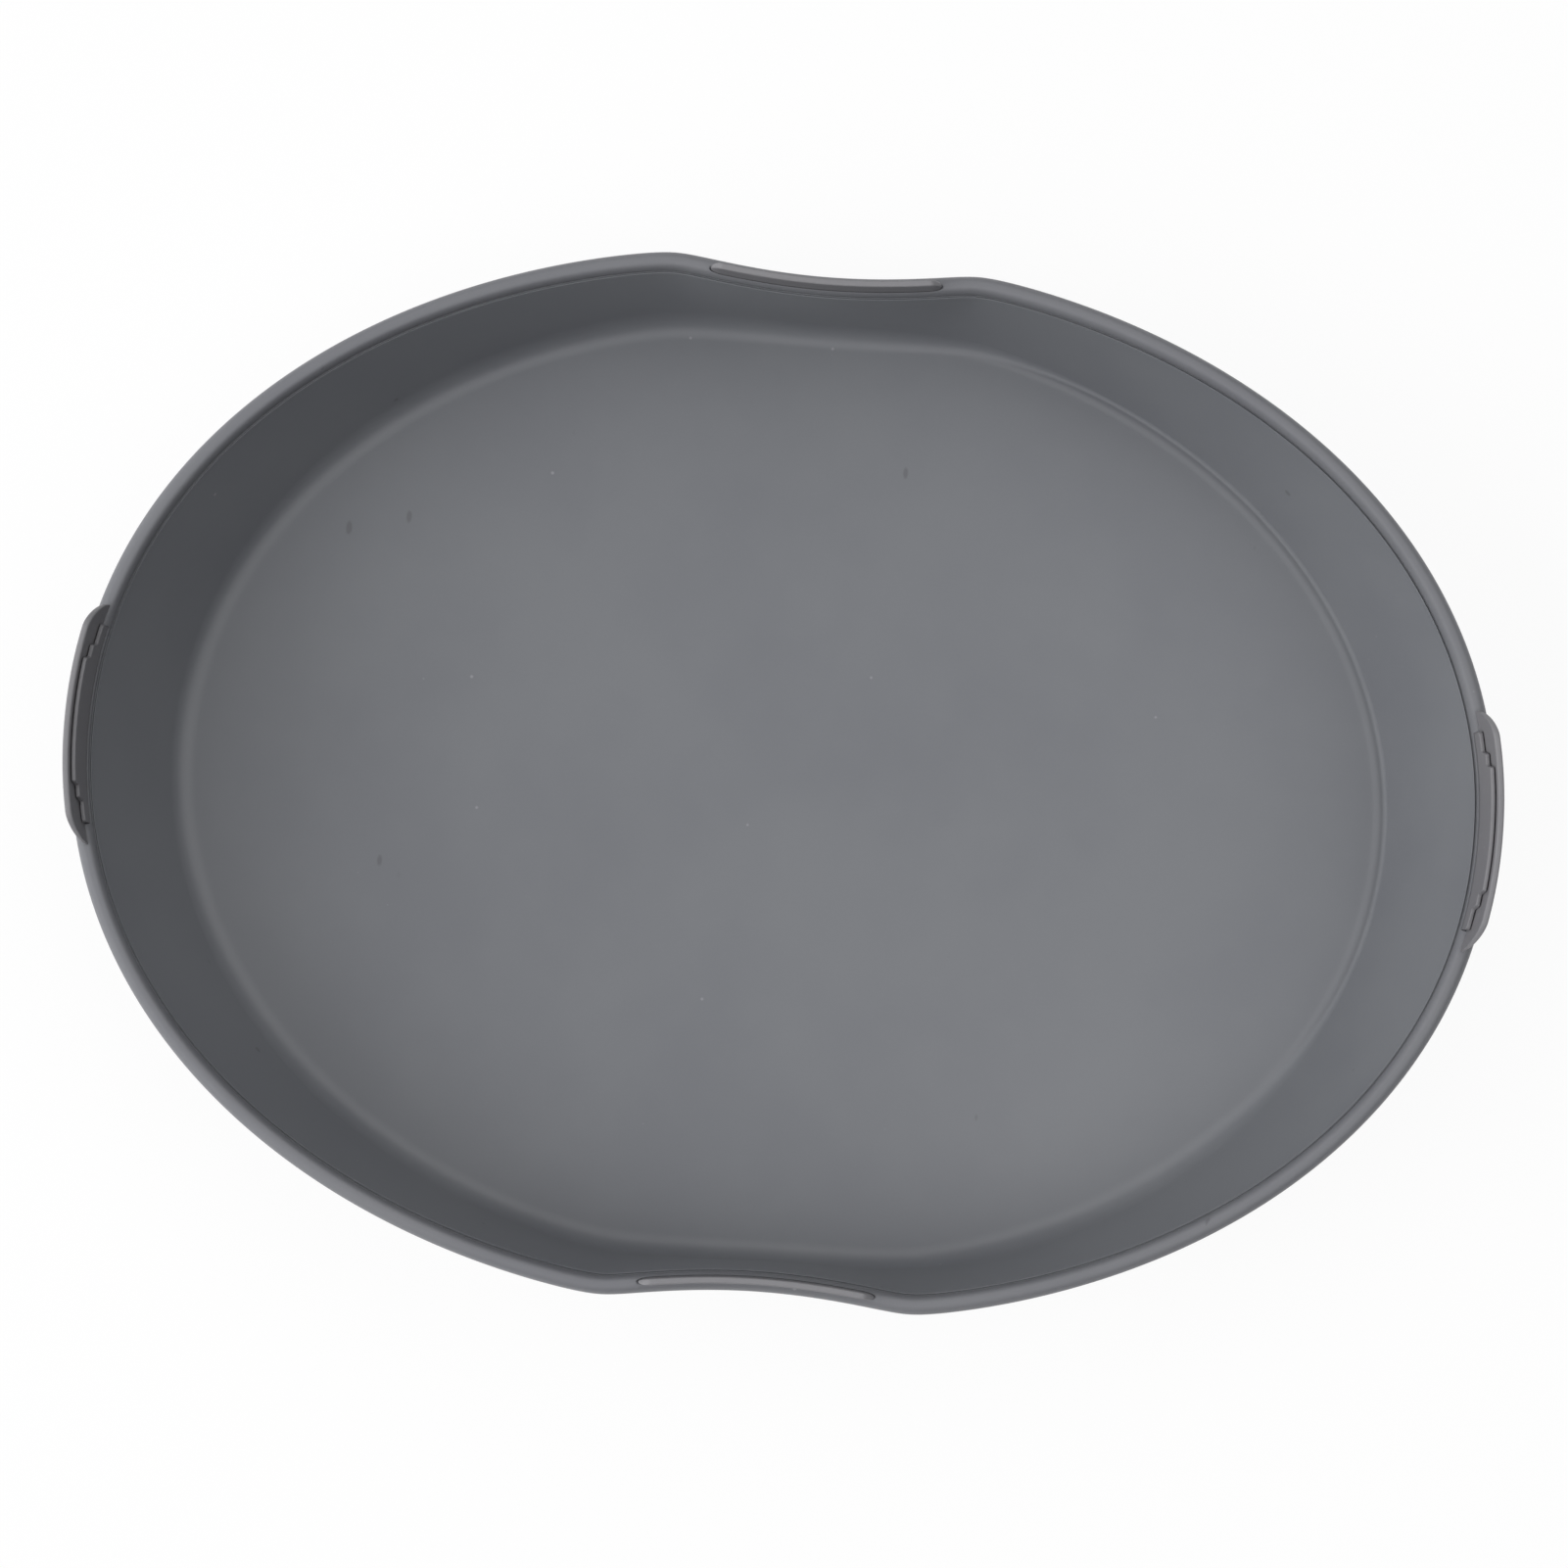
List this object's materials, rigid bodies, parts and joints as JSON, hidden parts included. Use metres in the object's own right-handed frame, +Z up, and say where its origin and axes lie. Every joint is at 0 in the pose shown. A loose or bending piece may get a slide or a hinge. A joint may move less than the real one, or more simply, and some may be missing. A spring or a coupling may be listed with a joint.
{
  "type": "silicone steam pan",
  "caption": "Oval soft silicone pan with a rounded stiffened rim, waists in the long sides that let steam pass, and flexible upright grips on the rim, for steaming food.",
  "frame": {"origin": "under the middle of the floor, on the surface that the pan stands on", "axes": "+X along the pan to its right end, +Y to the back waist, +Z up"},
  "size_m": [0.33, 0.2422, 0.0528],
  "materials": {
    "shell_silicone": "matte, slightly dusty satin",
    "rim_silicone": "satin",
    "grip_silicone": "satin",
    "wire_steel": "drawn stainless wire"
  },
  "bodies": {
    "pan": {"pan_shell": "shell_silicone", "rim_cap": "rim_silicone", "rim_wire": "wire_steel", "left_stop_plate": "grip_silicone", "right_stop_plate": "grip_silicone", "front_grip_fin": "grip_silicone", "back_grip_fin": "grip_silicone"},
    "left_ear": {"left_ear": "grip_silicone"},
    "right_ear": {"right_ear": "grip_silicone"}
  },
  "joints": [
    {"name": "left_ear_flex", "type": "hinge", "parent": "pan", "child": "left_ear", "pos_m": [-0.1637, 0, 0.0403], "axis": [0, -1, 0], "range_deg": [0, 40], "stiffness_Nm_per_rad": 0.006},
    {"name": "right_ear_flex", "type": "hinge", "parent": "pan", "child": "right_ear", "pos_m": [0.1637, 0, 0.0403], "axis": [0, 1, 0], "range_deg": [0, 40], "stiffness_Nm_per_rad": 0.006}
  ]
}
